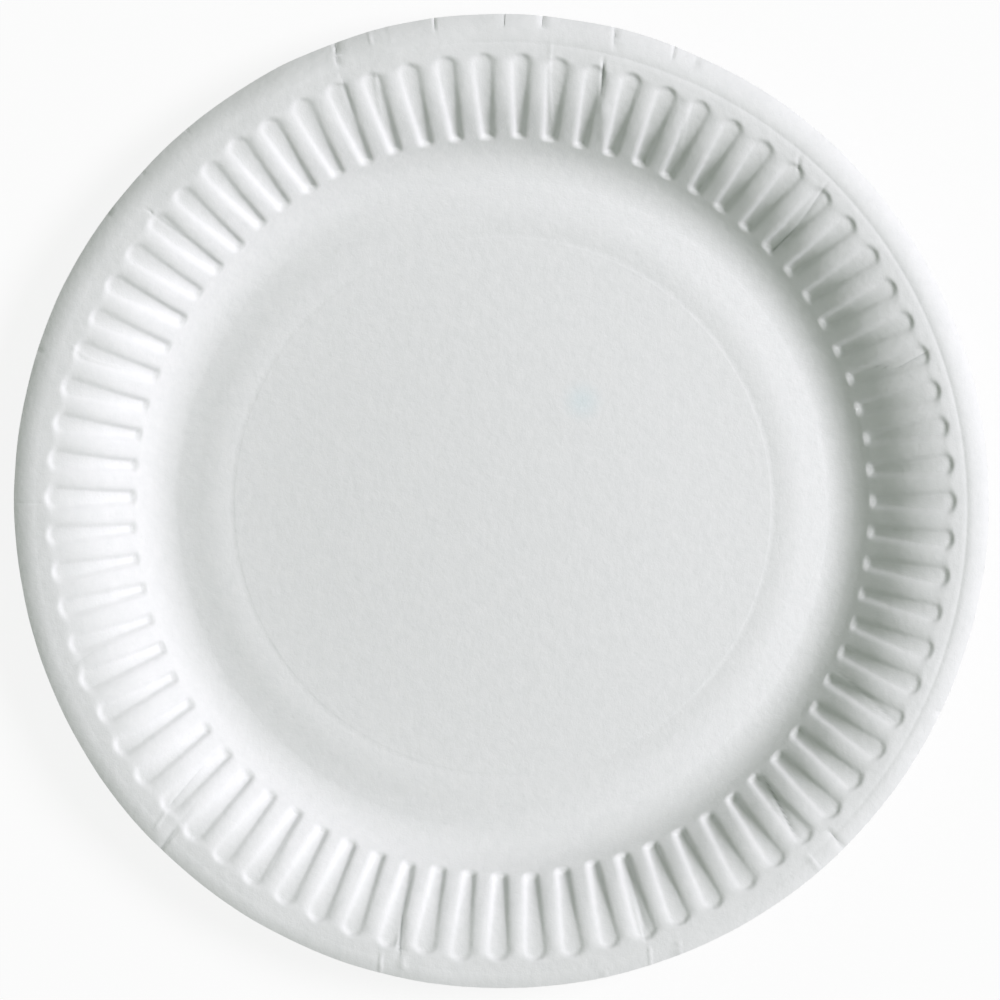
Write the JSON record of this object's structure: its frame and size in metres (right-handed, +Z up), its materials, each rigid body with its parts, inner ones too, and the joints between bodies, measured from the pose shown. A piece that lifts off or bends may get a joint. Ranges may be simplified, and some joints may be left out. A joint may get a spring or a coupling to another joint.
{
  "type": "paper plate",
  "caption": "Round white paperboard plate with a slightly crowned bottom, a radially fluted wall and a turned-down rim.",
  "frame": {"origin": "middle of the ring that the plate stands on, on the resting plane, on the axis of the flutes", "axes": "+Z up out of the plate's open side; +Y towards the widest part of the rim, which is the top of the picture; +X to the right of the picture"},
  "size_m": [0.23, 0.23, 0.0156],
  "materials": {
    "paperboard": "uncoated matt white board"
  },
  "bodies": {
    "root": {"plate": "paperboard"}
  },
  "joints": []
}
